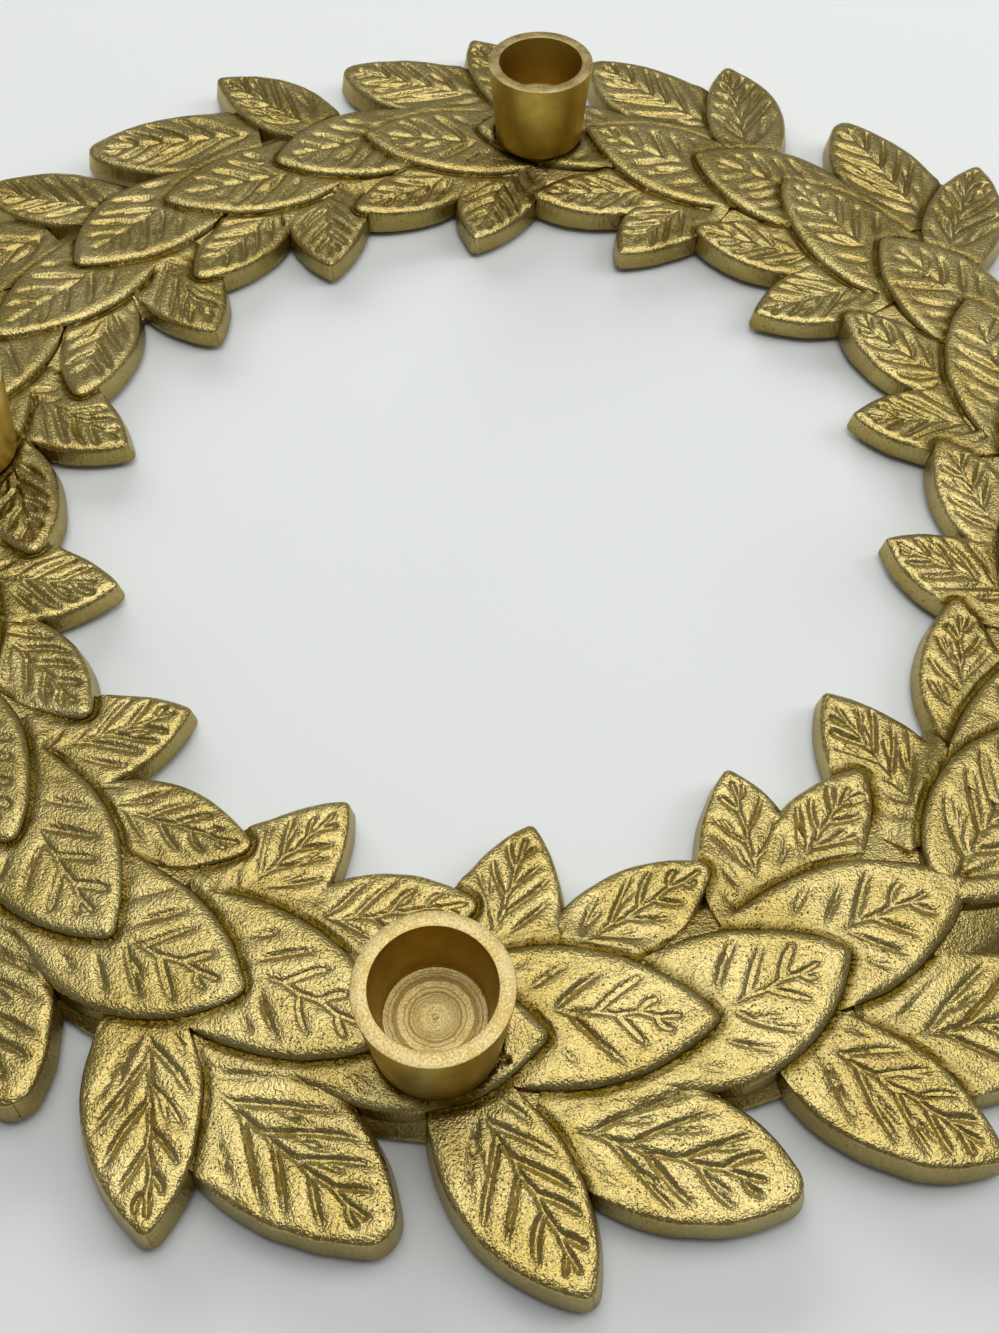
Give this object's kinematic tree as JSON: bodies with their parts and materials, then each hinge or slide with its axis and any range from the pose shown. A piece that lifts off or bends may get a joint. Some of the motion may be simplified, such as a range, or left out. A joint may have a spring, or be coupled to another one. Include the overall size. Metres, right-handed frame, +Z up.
{
  "type": "candle ring",
  "caption": "Round ring of overlapping laurel leaves in cast metal, with tapered cups standing on it for taper candles.",
  "frame": {"origin": "on the table plane, at the middle of the ring", "axes": "+Z up, +Y towards the back cup, +X towards the right cup"},
  "size_m": [0.3617, 0.3585, 0.0314],
  "materials": {
    "cast_gold": "antique gold, sand cast and satin",
    "turned_gold": "antique gold, fine turned and satin",
    "screw_steel": "zinc plated",
    "felt": "dark felt"
  },
  "bodies": {
    "root": {"wreath_casting": "cast_gold", "back_cup": "turned_gold", "left_cup": "turned_gold", "front_cup": "turned_gold", "right_cup": "turned_gold", "back_cup_screw": "screw_steel", "left_cup_screw": "screw_steel", "front_cup_screw": "screw_steel", "right_cup_screw": "screw_steel", "rear_right_pad": "felt", "rear_left_pad": "felt", "front_left_pad": "felt", "front_right_pad": "felt"}
  },
  "joints": []
}
